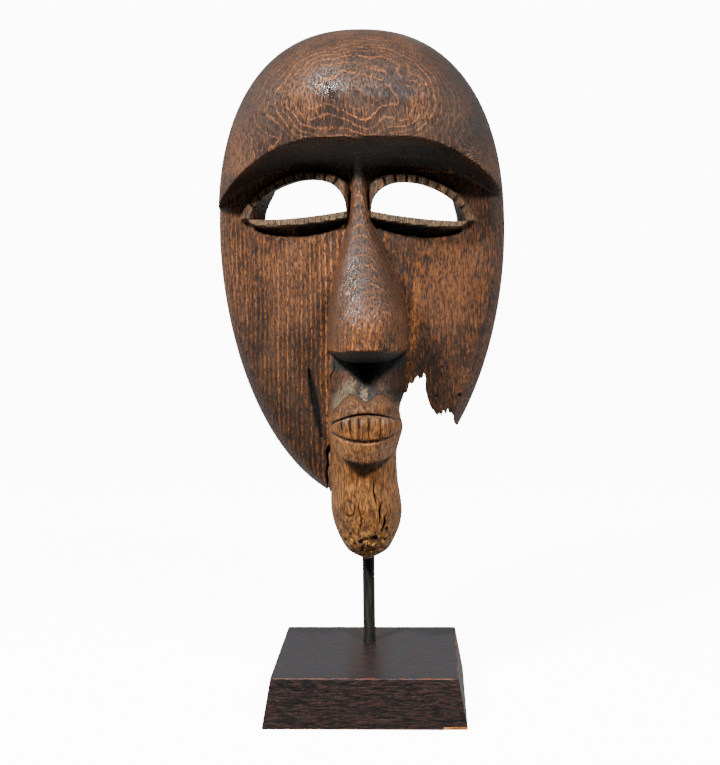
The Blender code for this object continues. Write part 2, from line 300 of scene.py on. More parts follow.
# The eye holes, cut straight in and slanting at the temples
eye_holes = []
for side, eye in EYES.items():
    t = np.linspace(-1, 1, 61)
    over = np.abs(t) ** 0.8 * np.where(t < 0, -eye["inner"], eye["outer"])
    under = np.linspace(eye["rear"], -eye["inner"], 30)[1:-1]
    across = np.append(over, under)
    x = eye["apex"] + across * eye["side"]
    x_rear = eye["apex"] + np.minimum(across, eye["rear"]) * eye["side"]
    z = sill_line(x)
    z[:61] += eye_arch(eye, x[:61])
    z_rear = np.maximum(z, sill_line(x_rear))
    sections = ((x, -30, z), (x, -6, z), (x_rear, WALL + 2, z_rear), (x_rear, 40, z_rear))
    eye_holes.append(loft("eye_" + side, [np.column_stack((at, cheek(x) + y, height))
                                          for at, y, height in sections]))

# The broken lower right cheek and the rotten split beside the chin, with torn fibres
BREAK_EDGE = [
    (16, 206), (21.4, 208.8), (23.3, 213), (26.1, 217.8), (30.5, 222.7), (31.8, 228),
    (34.5, 227.4), (37.4, 232.4), (38.8, 229.5), (42, 233.3), (43.5, 230.9), (43.1, 224.4),
    (43.8, 218), (45.2, 212.8), (47.5, 208), (50.6, 205), (54.1, 202.6), (55.5, 206.2),
    (57.2, 204.5), (58.8, 206.9), (60, 204.4), (61.6, 204.7), (63, 201.8), (63.4, 197),
]
BREAK_OUTSIDE = [(75, 178), (40, 130), (16, 130)]
SPLIT_EDGE = [(-20, 186), (-25.5, 186.5), (-28.6, 180), (-27.6, 172), (-29, 164),
              (-28, 156), (-29.5, 146)]
SPLIT_FOOT = [(-20, 146)]
SPLIT_TOP_Z, SPLIT_SLOPE = 186, 0.9


def torn(outline, size, seed):
    """An outline with small splinters, long along the grain, between its points."""
    rng = np.random.default_rng(seed)
    out = []
    for (x0, z0), (x1, z1) in zip(outline, outline[1:]):
        count = max(1, int(math.hypot(x1 - x0, z1 - z0) / 1.1))
        for k in range(count):
            t = k / count
            off = rng.normal(0, 1, 2) * (0 if not out else 1)
            out.append((x0 + (x1 - x0) * t + 0.3 * size * off[0],
                        z0 + (z1 - z0) * t + size * off[1]))
    return out + [outline[-1]]


def prism(name, outline, front, back):
    """Solid over an outline between two depths in y, each one number or one per point."""
    depths = [np.broadcast_to(depth, len(outline)) for depth in (front, back)]
    return loft(name, [[(x, y, z) for (x, z), y in zip(outline, depth)] for depth in depths])


torn_cheek = torn(BREAK_EDGE, 0.7, 4) + BREAK_OUTSIDE
missing_cheek = prism("missing_cheek", torn_cheek, -40, RIM_Y + 15)
torn_split = torn(SPLIT_EDGE, 0.35, 7) + SPLIT_FOOT
split_back = [7.0 + SPLIT_SLOPE * (SPLIT_TOP_Z - z) for x, z in torn_split]
rotten_split = prism("rotten_split", torn_split, -30, split_back)

# The muzzle and the chin, a column with a barrel of a mouth
CHIN_FOOT_Z, CHIN_BACK_Y, MUZZLE_TOP_Z = 103.5, 42.0, 256.0
MOUTH_X, MOUTH_HALF, MUZZLE_SIDE_Y = 2.5, 26.0, 2.0
KNOT_X, KNOT_Z, KNOT_WIDE, KNOT_TALL = -10.4, 142.8, 3.9, 5.4
TOOTH_GAPS = (-13.8, -7.6, -1.5, 5.2, 12.8, 19.6)


def column_half(z):
    return profile(z, (103, 3), (105, 6.5), (108.5, 13.2), (114, 17.6), (120, 20.6),
                   (126, 23), (138, 25.2), (150, 24.6), (159, 23.6), (170, 23.2), (179, 23.4),
                   (187, 24.8), (193, 26), (199, 26.6), (206, 25.8), (212, 25.4), (217, 26.4),
                   (222, 27.6), (240, 28.3), (258, 28.8))


def column_middle(z):
    return profile(z, (103, 0.8), (138, 0.3), (150, -0.5), (165, -0.9), (187, -0.7), (199, 0.2),
                   (206, -0.4), (212, -0.5), (217, 0.3), (222, 0.9), (240, 1.5), (258, MOUTH_X))


def column_back(z):
    return profile(z, (103, 37), (112, CHIN_BACK_Y), (148, CHIN_BACK_Y), (166, 36),
                   (182, 20), (196, 9), (210, 4.5), (225, 3.6), (258, 3.5))


def from_mouth(x):
    """Distance across from the mouth's middle, as a share of its half-width."""
    return np.abs(x - MOUTH_X) / MOUTH_HALF


def from_knot(x, z):
    """Distance from the middle of the knot in the chin, which is 1 on its ring."""
    return np.hypot((x - KNOT_X) / KNOT_WIDE, (z - KNOT_Z) / KNOT_TALL)


def teeth_top(u):
    return 211.3 - 9 * u**2


def teeth_foot(u):
    return 192.2 + 6 * u**2


def lip_foot(u):
    return 176 + 8 * u**2 + 12 * u**8


def lip_top(x):
    """Upper edge of the upper lip, with its dip in the middle."""
    beyond = np.clip(from_mouth(x) - 0.42, 0, None)
    return 223.3 - 5 * bell(x - MOUTH_X, 4.5) - 29 * beyond**1.2


def muzzle(x, z):
    """Front of the muzzle and chin: lips, a band of teeth and a knot."""
    front = profile(z, (103, -6), (107, -15), (114, -22), (126, -27), (142, -30),
                    (160, -29), (174, -30), (186, -34), (200, -37), (214, -35),
                    (222, -32), (230, -26), (238, -22), (250, -18), (258, -17))
    q = np.clip(np.abs(x - column_middle(z)) / column_half(z), 0, 1)
    ridged = ease(214, 224, z)
    across = (1 - ridged) * (1 - q**2.5) ** 0.55 + ridged * (1 - q**1.8) ** 0.85
    depth = MUZZLE_SIDE_Y + (front - MUZZLE_SIDE_Y) * across
    u = from_mouth(x)
    barrel = ease(0, 1.6, lip_top(x) - z) * ease(0, 1.7, z - lip_foot(u))
    band = ease(0, 1.2, teeth_top(u) - z) * ease(0, 1.2, z - teeth_foot(u))
    gap = np.min([np.abs(x - place) for place in TOOTH_GAPS], axis=0)
    tooth = np.sqrt(1 - np.clip(1 - gap / 2.8, 0, 1) ** 2) * (0.55 + 0.45 * ease(195, 207, z))
    depth = depth - 10.0 * barrel + (2.6 - 3.4 * tooth) * band * (1 - q**6)
    seam = bell(z - teeth_top(u), 0.8) + bell(z - teeth_foot(u), 1.0)
    depth = depth + 2.8 * seam * ease(1.0, 0.85, u) * (1 - q**6)
    knot = from_knot(x, z)
    return depth + 1.5 * bell(knot - 1, 0.18) * (knot < 2)


def column(name, rows, points):
    """Muzzle and chin: a D-shaped section at each height, roughened as old wood is."""
    rings = []
    for z in np.interp(np.linspace(0, 1, rows), (0, 0.36, 0.88, 1),
                       (CHIN_FOOT_Z, 173, 226, MUZZLE_TOP_Z)):
        half, mid = column_half(z), column_middle(z)
        turn = np.linspace(0, np.pi, points)
        x = mid + half * (0.5 * np.cos(turn) + 0.5 - turn / np.pi)
        y = np.minimum(muzzle(x, np.full_like(x, z)), MUZZLE_SIDE_Y)
        turn = np.linspace(np.pi, 2 * np.pi, points // 2)[1:-1]
        side = np.sign(np.cos(turn)) * np.abs(np.cos(turn)) ** 0.6
        xb = mid + half * 0.97 * side
        yb = MUZZLE_SIDE_Y + (column_back(z) - MUZZLE_SIDE_Y) * np.abs(np.sin(turn)) ** 0.5
        x, y = np.append(x, xb), np.append(y, yb)
        zz = np.full_like(x, z)
        rough = 0.35 * unevenness(x, y, zz, 4, 4) + 0.5 * unevenness(x, y, zz, 14, 1.5)
        decay = ease(131, 118, z) * ease(0.05, 0.5, unevenness(x, y, zz, 3.2, 1.2))
        pull = 1 - (rough * 0.5 + 1.6 * decay) / 24 * ease(103.5, 108, z)
        x, y = mid + (x - mid) * pull, MUZZLE_SIDE_Y + (y - MUZZLE_SIDE_Y) * pull
        rings.append(np.column_stack((x, y, zz)))
    return loft(name, rings)


chin = column("chin", 180, 101)

# Drying cracks that taper out at both ends: where each starts and ends across and up,
# how wide it is in the middle, and the depth in y that it reaches
CRACKS = [(5.5, 168, 8.5, 143, 1.1, -26.5), (12, 151, 9.5, 131, 1.4, -22.5),
          (-3.5, 152, -2.5, 128, 0.8, -27), (15.5, 141, 11, 124, 1.6, -18),
          (30.2, 322, 31, 292, 1.0, -1.5), (-20, 244, -24.5, 229, 0.9, -3.5)]
cracks = []
for number, (x0, z0, x1, z1, wide, depth) in enumerate(CRACKS):
    t = np.linspace(0, 1, 13)
    x = x0 + (x1 - x0) * t + 0.5 * np.sin(9 * t + number)
    z = z0 + (z1 - z0) * t
    half = wide / 2 * np.sin(np.pi * t) + 0.05
    sides = [*zip(x - half, z), *zip((x + half)[::-1], z[::-1])]
    cracks.append(prism(f"crack_{number}", sides, -45, depth))

# The chip out of the right lower lid, and the rotten splinters left in the split
LID_CHIP = [(43.4, 346), (45, 343.4), (46.4, 340.8), (47.8, 342.2), (48.8, 346)]
SPLINTERS = [(-20, 186.5), (-25.2, 185.5), (-24.6, 181), (-26.2, 176.5), (-25.4, 171),
             (-26.9, 166), (-26.2, 160), (-27, 155.5), (-25.4, 151), (-20, 150)]
lid_chip = prism("lid_chip", torn(LID_CHIP, 0.12, 2), -40, 12)
splinters = prism("splinters", torn(SPLINTERS, 0.45, 9), -3, 14)

# The blind bore for the rod in the foot of the chin
ROD_X, ROD_Y, ROD_RADIUS, ROD_FOOT_Z, ROD_TOP_Z, CLEARANCE = 0.0, 26.0, 4.5, 12.0, 145.5, 0.3


def drill(name, low, high):
    """Upright round cutter between two heights that clears the rod."""
    radius = (ROD_RADIUS + CLEARANCE) * MM
    middle = (ROD_X * MM, ROD_Y * MM, (low + high) / 2 * MM)
    bm = bmesh.new()
    bmesh.ops.create_cone(bm, cap_ends=True, segments=64, radius1=radius, radius2=radius,
                          depth=(high - low) * MM, matrix=Matrix.Translation(middle))
    return solid_of(name, bm)


chin_bore = drill("chin_bore", 83, ROD_TOP_Z + CLEARANCE)


# Knife marks: V-shaped cuts set out evenly along a line, each across it
def polyline(name, lines):
    """Mesh of open lines through points given in millimetres."""
    verts, edges = [], []
    for line in lines:
        start = len(verts)
        verts += [tuple(MM * c for c in p) for p in line]
        edges += [(i, i + 1) for i in range(start, len(verts) - 1)]
    mesh = bpy.data.meshes.new(name)
    mesh.from_pydata(verts, edges, [])
    return placed(name, mesh)


def node(tree, kind, inputs=None, out=0, **settings):
    """Adds a node, sets it up, feeds its inputs by name or place and gives an output."""
    made = tree.nodes.new(kind)
    for name, value in settings.items():
        setattr(made, name, value)
    for key, value in (inputs or {}).items():
        socket = made.inputs[key]
        if isinstance(value, bpy.types.NodeSocket):
            tree.links.new(value, socket)
        else:
            socket.default_value = value
    return made.outputs[out]


def parts(tree, vector):
    """The outputs of a vector taken apart."""
    return node(tree, "ShaderNodeSeparateXYZ", {0: vector}).node.outputs


def new_tree(name, kind, inputs, outputs):
    """An empty node tree with named sockets, its inputs' sockets and its output node."""
    tree = bpy.data.node_groups.new(name, kind)
    for direction, sockets in (("INPUT", inputs), ("OUTPUT", outputs)):
        for label, (socket, value) in sockets.items():
            made = tree.interface.new_socket(label, in_out=direction,
                                             socket_type="NodeSocket" + socket)
            if value is not None:
                made.default_value = value
    return tree, tree.nodes.new("NodeGroupInput").outputs, tree.nodes.new("NodeGroupOutput")


def chance(tree, low, high, seed, kind="FLOAT_VECTOR"):
    """A random value for each point, between two limits."""
    return node(tree, "FunctionNodeRandomValue", {"Min": low, "Max": high, "Seed": seed},
                out="Value", data_type=kind)


cuts, given, result = new_tree(
    "knife_cuts", "GeometryNodeTree",
    {"Lines": ("Geometry", None), "Spacing": ("Float", 0.009),
     "Width": ("Float", 0.0016), "Depth": ("Float", 0.0016),
     "Length": ("Float", 0.012), "Lean": ("Float", 0.1),
     "Seed": ("Int", 0), "Finish": ("Material", None)},
    {"Cuts": ("Geometry", None)})
curve = node(cuts, "GeometryNodeMeshToCurve", {0: given["Lines"]})
marks = cuts.nodes.new("GeometryNodeCurveToPoints")
marks.mode = "LENGTH"
cuts.links.new(curve, marks.inputs["Curve"])
cuts.links.new(given["Spacing"], marks.inputs["Length"])
facing = node(cuts, "FunctionNodeAlignRotationToVector",
              {"Vector": marks.outputs["Tangent"]}, axis="X")
facing = node(cuts, "FunctionNodeAlignRotationToVector",
              {"Rotation": facing, "Vector": (0.0, 1.0, 0.0)}, axis="Y", pivot_axis="X")
lean = node(cuts, "ShaderNodeMath", {0: given["Lean"], 1: -1.0}, operation="MULTIPLY")
lean = chance(cuts, lean, given["Lean"], given["Seed"], "FLOAT")
tipped = node(cuts, "ShaderNodeCombineXYZ", {"Y": lean})
facing = node(cuts, "FunctionNodeRotateRotation",
              {0: facing, 1: node(cuts, "FunctionNodeEulerToRotation", {0: tipped})},
              rotation_space="LOCAL")
wedge = node(cuts, "GeometryNodeMeshCylinder",
             {"Vertices": 3, "Radius": 1.0, "Depth": given["Length"]})
turned = node(cuts, "GeometryNodeTransform",
              {"Geometry": wedge, "Rotation": (0.0, 0.0, math.pi / 2)})
size = node(cuts, "ShaderNodeCombineXYZ",
            {"X": node(cuts, "ShaderNodeMath", {0: given["Width"], 1: 0.62}, operation="MULTIPLY"),
             "Y": given["Depth"], "Z": 1.0})
blade = node(cuts, "GeometryNodeTransform", {"Geometry": turned, "Scale": size})
bulk = chance(cuts, (0.75, 0.7, 0.92), (1.25, 1.2, 1.08), given["Seed"])
each = node(cuts, "GeometryNodeInstanceOnPoints",
            {"Points": marks.outputs["Points"], "Instance": blade, "Rotation": facing,
             "Scale": bulk})
solid = node(cuts, "GeometryNodeRealizeInstances", {0: each})
marked = node(cuts, "GeometryNodeSetMaterial", {"Geometry": solid, "Material": given["Finish"]})
cuts.links.new(marked, result.inputs["Cuts"])


def grown(ob, tree, values):
    """The plain mesh that a Geometry Nodes tree makes of an object."""
    mod = ob.modifiers.new(tree.name, "NODES")
    mod.node_group = tree
    for item in tree.interface.items_tree:
        if item.name in values:
            mod[item.identifier] = values[item.name]
    evaluated = ob.evaluated_get(bpy.context.evaluated_depsgraph_get())
    mesh = bpy.data.meshes.new_from_object(evaluated)
    ob.modifiers.remove(mod)
    ob.data = mesh
    return ob


carved_wood = bpy.data.materials.new("carved_wood")
knife_cut = bpy.data.materials.new("knife_cut")
raw_wood = bpy.data.materials.new("raw_wood")
hollow_wood = bpy.data.materials.new("hollow_wood")

lid_lines = []
for eye in EYES.values():
    t = np.linspace(-0.97, 0.97, 60)
    x = eye["apex"] + t * np.where(t < 0, eye["inner"], eye["outer"]) * eye["side"]
    x = x[t > (-0.8 if eye["side"] < 0 else -0.7)]
    z = sill_line(x) + eye_arch(eye, x, LID_WIDTH * 0.55)
    lid_lines.append(np.column_stack((x, cheek(x) - LID_RAISE - 0.7, z)))
lid_notches = grown(polyline("lid_notches", lid_lines), cuts, {
    "Spacing": 7.6 * MM, "Width": 3.2 * MM, "Depth": 4.2 * MM, "Length": 11 * MM,
    "Lean": 0.12, "Seed": 3, "Finish": knife_cut})

t = np.repeat(TOOTH_GAPS, 2) + np.tile((-0.5, 0.5), len(TOOTH_GAPS))
u = from_mouth(t)
z = (teeth_top(u) + teeth_foot(u)) / 2
tooth_lines = np.column_stack((t, muzzle(t, z) - 0.4, z)).reshape(len(TOOTH_GAPS), 2, 3)
tooth_gaps = grown(polyline("tooth_gaps", tooth_lines), cuts, {
    "Spacing": 5 * MM, "Width": 1.5 * MM, "Depth": 2.2 * MM, "Length": 14 * MM,
    "Lean": 0.03, "Seed": 5, "Finish": knife_cut})

# Worm holes in the rotten foot of the chin
worms, given, result = new_tree(
    "worm_holes", "GeometryNodeTree",
    {"Surface": ("Geometry", None), "Top": ("Float", 0.13),
     "Apart": ("Float", 0.0035), "Size": ("Float", 0.001),
     "Seed": ("Int", 0), "Finish": ("Material", None)},
    {"Holes": ("Geometry", None)})
height = parts(worms, node(worms, "GeometryNodeInputPosition"))["Z"]
low = node(worms, "FunctionNodeCompare", {"A": height, "B": given["Top"]},
           data_type="FLOAT", operation="LESS_THAN")
spots = worms.nodes.new("GeometryNodeDistributePointsOnFaces")
spots.distribute_method = "POISSON"
for name, socket in (("Mesh", given["Surface"]), ("Selection", low),
                     ("Distance Min", given["Apart"]), ("Seed", given["Seed"])):
    worms.links.new(socket, spots.inputs[name])
spots.inputs["Density Max"].default_value = 60000
bead = node(worms, "GeometryNodeMeshIcoSphere", {"Radius": given["Size"], "Subdivisions": 2})
lean = chance(worms, (-0.5, -0.5, 0.0), (0.5, 0.5, 3.0), given["Seed"])
bulk = chance(worms, (0.45, 0.45, 0.5), (1.15, 1.1, 1.7), given["Seed"])
holes = node(worms, "GeometryNodeInstanceOnPoints",
             {"Points": spots.outputs["Points"], "Instance": bead, "Rotation": lean,
              "Scale": bulk})
solid = node(worms, "GeometryNodeRealizeInstances", {0: holes})
marked = node(worms, "GeometryNodeSetMaterial", {"Geometry": solid, "Material": given["Finish"]})
worms.links.new(marked, result.inputs["Holes"])
worm_patch = column("worm_patch", 60, 41)
worm_holes = grown(worm_patch, worms, {"Top": 126 * MM, "Apart": 4.4 * MM, "Size": 1.2 * MM,
                                       "Seed": 11, "Finish": knife_cut})

# Old pits and exit holes: where each lies across and up, and its half-width
PITS = [(18.5, 230.5, 0.8), (54.5, 238, 0.9), (50.8, 216.8, 1.3), (47.6, 220, 1.0),
        (67.5, 216.5, 2.0), (-43.5, 232, 0.8), (-46, 178, 0.8), (-2.5, 430, 0.7), (7, 122, 2.2),
        (-3, 119, 1.9), (15, 128, 1.6)]
pit_mesh = bmesh.new()
for px, pz, size in PITS:
    front = muzzle if abs(px) < 22 and pz < 240 else shell_front
    surface = front(np.array([px]), np.array([float(pz)]))[0]
    bmesh.ops.create_icosphere(pit_mesh, subdivisions=2, radius=1.0, matrix=Matrix.LocRotScale(
        Vector((px, surface, pz)) * MM, None, Vector((size, size * 1.3, size * 1.4)) * MM))
pits = solid_of("pits", pit_mesh)


def cut(ob, other, finish=None, operation="DIFFERENCE", solver="MANIFOLD"):
    """A Boolean with another solid, whose faces bring their own finish."""
    if finish and not other.data.materials:
        other.data.materials.append(finish)
    mod = ob.modifiers.new(other.name, "BOOLEAN")
    mod.operation = operation
    mod.solver = solver
    mod.object = other
    mod.material_mode = "TRANSFER"


def carved(name, blank, sharp):
    """A blank with its cuts made, as one plain mesh, its cutters taken away."""
    evaluated = blank.evaluated_get(bpy.context.evaluated_depsgraph_get())
    made = placed(name, bpy.data.meshes.new_from_object(evaluated))
    for tool in [mod.object for mod in blank.modifiers] + [blank]:
        bpy.data.objects.remove(tool, do_unlink=True)
    made.data.shade_smooth()
    made.data.set_sharp_from_angle(angle=math.radians(sharp))
    return made


mask_blank.data.materials.append(carved_wood)
cut(mask_blank, hollow, hollow_wood)
for hole in eye_holes:
    cut(mask_blank, hole, carved_wood)
for tool in (missing_cheek, lid_chip, rotten_split):
    cut(mask_blank, tool, raw_wood)
cut(mask_blank, chin, carved_wood, "UNION")
cut(mask_blank, splinters, raw_wood, "UNION")
cut(mask_blank, chin_bore, raw_wood)
for tool in (lid_notches, tooth_gaps, worm_holes):
    cut(mask_blank, tool)
for flaw in (*cracks, pits):
    cut(mask_blank, flaw, knife_cut)
mask = carved("carved_mask", mask_blank, sharp=38)

# Where each point of the finished surface lies, for its wear and dirt
co = np.zeros(len(mask.data.vertices) * 3)
mask.data.vertices.foreach_get("co", co)
x, y, z = co.reshape(-1, 3).T / MM
off_mouth = np.abs(x - MOUTH_X)
u = from_mouth(x)
above_lip = z - lip_top(x)
under_lip = lip_foot(u) - z
proud = cheek(x) - y
room = half_width(z) - np.abs(x - OVAL_X)
knot = from_knot(x, z) + (y > 0) * 9
on_column = ease(29, 25, off_mouth) * ease(0.5, 5, column_back(z) - y) * (z < 256)
on_lid = ease(2, 6, lids(x, z)) * ease(4, 7, proud)
upper_lip = ease(206, 212, z) * ease(228, 224, z)
tooth_light = bell(z - 207.5, 2.2) * (y < -30)


def spot(at_x, at_z, wide, tall):
    """Share of a soft oval patch around a place on the surface."""
    return bell(x - at_x, wide) * bell(z - at_z, tall)


# Where it is darkened: painted shade in hollows and painted cast shadows, with patina under the brow,
# grime in the seams and along the lip, and a few dark patches
# Painted shade and patina under the brow, with a ragged upper edge
ragged = 3.5 * unevenness(x, y, z, 5, 0.5)
under_brow = ease(5, -8, z - brow_line(x) + ragged) * ease(-6, 5, z - crease_line(x)) * (y < 40)
# Painted shadow in the crescents under the lower lids
lid_shade = under_lid(x, z) * (y < 12)
# The nose's underside darkened
nose_foot = ease(0.3, -0.3, z - NOSE_TIP_Z + 5 * ((x - MOUTH_X) / 29) ** 2)
nose_foot = nose_foot * (z > 238) * ease(1, 3, proud)
# Painted shadow of the nose on the lip, a triangle narrowing downwards
lip_shade = ease(2, -2, off_mouth - 2 - 0.85 * (z - 233)) * (z < 250) * ease(2, 5, proud)
# Painted shade in the groove down the left cheek
gouge = cheek_gouge(x, z) * (y < 30)
seams = np.maximum(bell(z - teeth_top(u), 0.9), bell(z - teeth_foot(u), 1.0))
seams = seams * (y < -8) * (off_mouth < 25)
# Painted shadow of the lower lip on the chin, a crescent
crescent = 8.5 - 8.5 * (off_mouth / 20) ** 2
chin_shade = ease(0, 1, under_lip) * ease(0, -3, under_lip - crescent) * (y < -10)
# Painted shade on the walls inside the eye holes
in_hole = 0.85 * ease(1, 4, -proud) * (z > 341) * (z < 371) * (room > 4) * (y < 46)
# Painted shade in the eye holes, the knot's dark ring, darker towards the forehead's edges and top,
# and a dark patch low on the left cheek
hole_shade_and_dark_patches = (in_hole + 0.35 * ease(1.1, 0.8, knot) + 0.5 * bell(knot - 1, 0.16)
          + 0.45 * ease(26, 4, room) * ease(385, 410, z) + 0.35 * ease(455, 480, z)
          + 0.4 * spot(-52, 212, 26, 30) * ease(0, 3, 3 + proud))
ivory = ease(3.0, 1.6, np.abs(x - MOUTH_X + 1.6)) * ease(230, 224, z)
# Painted shadow in the dip over the upper lip, off the pale wedge
lip_dip = (ease(11, 4, off_mouth) * ease(-0.5, 1, above_lip) * ease(243, 238, z)
           * (y < 0) * (z > 210))
lip_dirt = 0.8 * bell(above_lip - 0.2, 0.7) * (y < -8) * (off_mouth < 24)
# All the painted shade and the grime together
shade_and_dirt = np.clip(0.78 * under_brow + 0.75 * lip_dip * (1 - ivory) + lid_shade
               + 0.9 * nose_foot + lip_shade + 1.2 * gouge + 0.85 * seams
               + 0.55 * chin_shade + hole_shade_and_dark_patches, 0, 1) + lip_dirt

# The chin's golden wood, and the pale marks: painted light on the facets over the lip and on the
# teeth, a dusted wedge in the lip's dip, and lids of paler wood lightened with painted light
golden = (on_column * ease(1, -1, above_lip - 5 * ease(16, 26, off_mouth))
          * (1 - 0.35 * upper_lip))
# Painted light on the facets over the lip, brighter on the left and kept off the shaded middle
left_facet = ease(14, 5, above_lip) * ease(28, 22, off_mouth)
right_facet = 0.6 * ease(10, 3, above_lip) * ease(22, 12, off_mouth)
facet = np.where(x < MOUTH_X, left_facet, right_facet) * ease(6, 11, off_mouth)
over_lip = ease(-0.3, 1.2, above_lip) * (z < 243) * ease(0, 2, proud)
dust_and_light = np.maximum(facet, 1.25 * ivory) * over_lip
# Painted highlights on the tops of the teeth
dust_and_light = np.maximum(dust_and_light, 0.35 * tooth_light * (off_mouth < 19))
# Lids of paler wood with painted light, most on the lower lids
dust_and_light = np.maximum(dust_and_light, (0.24 + 0.3 * (z < sill_line(x) + 0.6)) * on_lid)

# Where it is darkest, partly painted shade and partly darker wood, and where hands have polished it
# Painted shade in the nose's shadow over the lip, under the lower lids, in the cheek groove and on
# the right of the lip; darker towards the forehead's sides; darker wood on the nose, the lower left
# cheek and the upper lip
shade = np.clip(0.85 * lip_shade + 0.5 * lid_shade + 0.85 * gouge
                + (0.36 + 0.20 * (x > 0)) * ease(28, 70, np.abs(x)) * ease(372, 402, z)
                + 0.26 * ease(10, 20, proud) * ease(276, 292, z) * ease(380, 370, z)
                + 0.35 * ease(290, 215, z) * ease(-24, -40, x)
                + 0.32 * (on_column > 0.5) * upper_lip
                + 0.4 * ease(MOUTH_X + 6, MOUTH_X + 14, x) * (off_mouth < 30)
                * ease(0, 4, above_lip) * (z < 250), 0, 1)
polish = (spot(-21, 432, 11, 12) + 0.5 * spot(18, 419, 8, 9)
          + 1.3 * spot(-9, 296, 9, 34) * ease(10, 20, proud)
          + 0.5 * ease(192, 188, z) * ease(177, 180, z) * (y < -25)
          + tooth_light * (off_mouth < 20)).clip(0, 1)

# Where it is rubbed through to paler wood: how much, where across and up, and how wide
# and tall
RUBBED = ((1.0, 62, 300, 32, 42), (1.0, -88, 400, 10, 16), (0.9, -36, 424, 13, 14),
          (0.8, 40, 418, 10, 14), (0.8, 68, 418, 12, 16), (0.5, -62, 315, 40, 34))
worn = (sum(much * spot(*where) for much, *where in RUBBED)
        + spot(MOUTH_X, 268, 20, 18) * ease(12, 25, proud))

# How deep each point lies in the tree, so that its growth rings follow the carving, and
# how wide a ring shows where the surface cuts it at a slant
RING = 3.6
normal = np.zeros(len(mask.data.vertices) * 3)
mask.data.vertices.foreach_get("normal", normal)
low = np.clip(428 - z, 0, 30)
high_up = ease(372, 402, z)
slant = (0.55 * ease(402, 372, z) * ease(-24, -2, y)
         + 0.9 * ease(302, 274, z) * ease(15, 25, proud))
waver = unevenness(x, y, z, 16, 1.0) * 4.5 * high_up + unevenness(x, y, z, 30, 3) * 1.6
ring_depth = slant * x - y - low**2 / 60 + waver
across = np.column_stack((slant, -np.ones_like(x), low / 30))
normal = normal.reshape(-1, 3)
across -= normal * np.sum(across * normal, axis=1, keepdims=True)
tight = np.linalg.norm(across, axis=1)
steep = high_up * ease(0.5, 0.95, tight)
on_cheek = (1 - high_up) * ease(22, 12, proud)
ring_width = np.clip((1.35 - 0.5 * steep - 0.45 * on_cheek) * tight / RING, 0.05, 0.42)
on_flank = ease(10, 18, proud) * ease(0.7, 0.92, tight) * ease(380, 372, z) * ease(256, 262, z)
below_brow = ease(380, 350, z)
ring_show = ((1 - 0.4 * steep) * (1 - 0.55 * on_flank) * (1 - 0.4 * on_lid)
             * (1 - 0.8 * ease(20, 50, x) * below_brow)
             * (1 - 0.42 * ease(-20, -50, x) * below_brow)
             * (1 - 0.7 * on_column * (z < 250)))
layers = {"shade_and_dirt": shade_and_dirt, "golden": golden, "dust_and_light": dust_and_light, "worn": worn, "shade": shade,
          "polish": polish, "ring_depth": ring_depth, "ring_width": ring_width,
          "ring_show": ring_show}
for name, value in layers.items():
    layer = mask.data.attributes.new(name, "FLOAT", "POINT")
    layer.data.foreach_set("value", value.astype(np.float32))


# The finish. Its patterns are fixed in the wood, measured in millimetres
def calc(tree, operation, a, b=0.0, c=0.0):
    return node(tree, "ShaderNodeMath", {0: a, 1: b, 2: c}, operation=operation)


def times(tree, a, b):
    return calc(tree, "MULTIPLY", a, b)


def raised(tree, a, share, start):
    """A share of a value added to a start."""
    return calc(tree, "MULTIPLY_ADD", a, share, start)


def between(tree, value, low, high, to_low=0.0, to_high=1.0):
    return node(tree, "ShaderNodeMapRange", {0: value, 1: low, 2: high, 3: to_low, 4: to_high},
                interpolation_type="SMOOTHSTEP")


def tint(tree, share, a, b):
    """The mix of two colours, each a socket or three numbers."""
    ends = [(*end, 1.0) if isinstance(end, tuple) else end for end in (a, b)]
    return node(tree, "ShaderNodeMix", {0: share, 6: ends[0], 7: ends[1]}, out=2,
                data_type="RGBA")


def scaled(tree, where, scale):
    return node(tree, "ShaderNodeVectorMath", {0: where, 1: scale}, operation="MULTIPLY")


def cloud(tree, where, scale, detail=2.0, roughness=0.5):
    """Noise from 0 to 1, its scale per millimetre along each axis."""
    return node(tree, "ShaderNodeTexNoise", {"Vector": scaled(tree, where, scale), "Scale": 1.0,
                                             "Detail": detail, "Roughness": roughness})


def millimetres(tree):
    place = node(tree, "ShaderNodeTexCoord", out="Object")
    return node(tree, "ShaderNodeVectorMath", {0: place, "Scale": 1000.0}, operation="SCALE")


rings, given, result = new_tree(
    "growth_rings", "ShaderNodeTree",
    {"Place": ("Vector", None), "Depth": ("Float", 0.0),
     "Width": ("Float", 0.3), "Spacing": ("Float", RING)},
    {"Line": ("Float", None)})
small = calc(rings, "SUBTRACT", cloud(rings, given["Place"], (0.4, 0.4, 0.18), 3.0, 0.65), 0.5)
jitter = times(rings, small, 2.6)
year = calc(rings, "DIVIDE", calc(rings, "ADD", given["Depth"], jitter), given["Spacing"])
within = calc(rings, "FRACT", year)
which = node(rings, "ShaderNodeTexWhiteNoise", {"W": calc(rings, "FLOOR", year)},
             noise_dimensions="1D")
share = calc(rings, "DIVIDE", within, given["Width"])
line = times(rings, between(rings, share, 0.0, 0.35), between(rings, share, 1.25, 0.6))
fade = between(rings, cloud(rings, given["Place"], (0.05, 0.05, 0.03), 2.0), 0.3, 0.6,
               raised(rings, given["Width"], 1.4, 0.05))
broken = between(rings, cloud(rings, given["Place"], (1.1, 1.1, 0.6), 2.0), 0.38, 0.56, 0.15)
faint = raised(rings, given["Width"], 1.0, 0.15)
line = times(rings, line, times(rings, fade, between(rings, which, 0.3, 0.85, faint, 1.0)))
rings.links.new(times(rings, line, broken), result.inputs["Line"])

